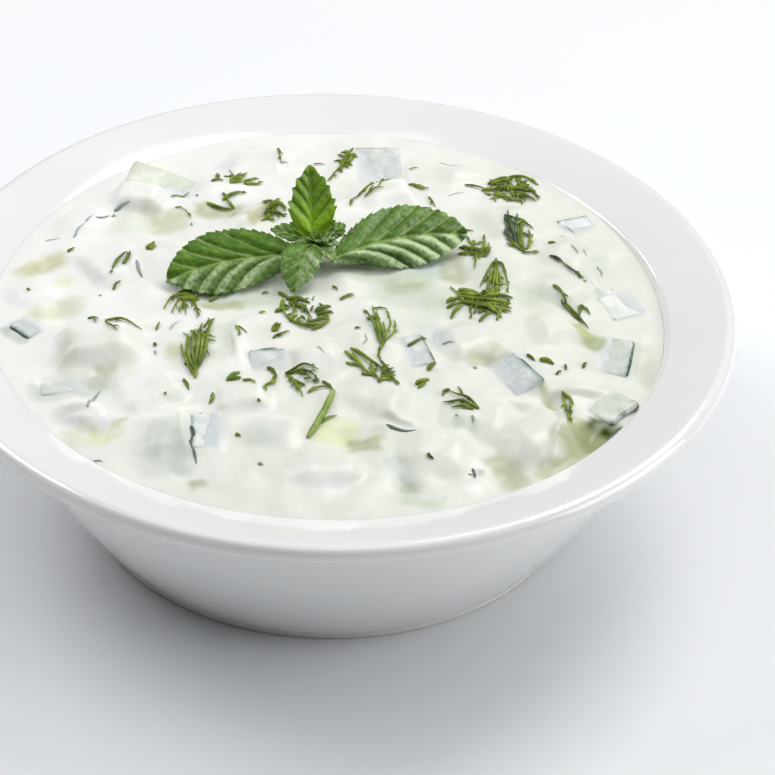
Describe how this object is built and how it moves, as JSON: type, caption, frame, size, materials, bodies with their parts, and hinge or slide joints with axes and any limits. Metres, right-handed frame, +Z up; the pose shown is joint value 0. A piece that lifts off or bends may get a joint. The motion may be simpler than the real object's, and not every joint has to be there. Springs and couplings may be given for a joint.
{
  "type": "bowl of tzatziki dip",
  "caption": "Wide-rimmed round white bowl heaped with chunky cucumber yogurt dip, with bare pieces of cucumber and a sprig of mint on top.",
  "frame": {"origin": "on the table, in the middle of the bowl's foot", "axes": "+Z up; +X to the right and +Y away as seen from the front, the side that the front mint leaf droops towards"},
  "size_m": [0.1598, 0.1598, 0.0649],
  "materials": {
    "glaze": "glossy white glaze",
    "yogurt": "wet, creamy",
    "cucumber": "wet, translucent",
    "mint": "satin leaf"
  },
  "bodies": {
    "root": {"bowl": "glaze", "dip": "yogurt", "cucumber_far": "cucumber", "cucumber_far_left": "cucumber", "cucumber_far_right": "cucumber", "cucumber_left": "cucumber", "cucumber_left_edge": "cucumber", "cucumber_left_front": "cucumber", "cucumber_mid_left": "cucumber", "cucumber_middle": "cucumber", "cucumber_cube": "cucumber", "cucumber_right": "cucumber", "cucumber_rim": "cucumber", "cucumber_round": "cucumber", "mint_leaf_left": "mint", "mint_leaf_right": "mint", "mint_leaf_top": "mint", "mint_leaf_front": "mint", "mint_leaf_small_left": "mint", "mint_leaf_small_right": "mint", "mint_stem": "mint"}
  },
  "joints": []
}
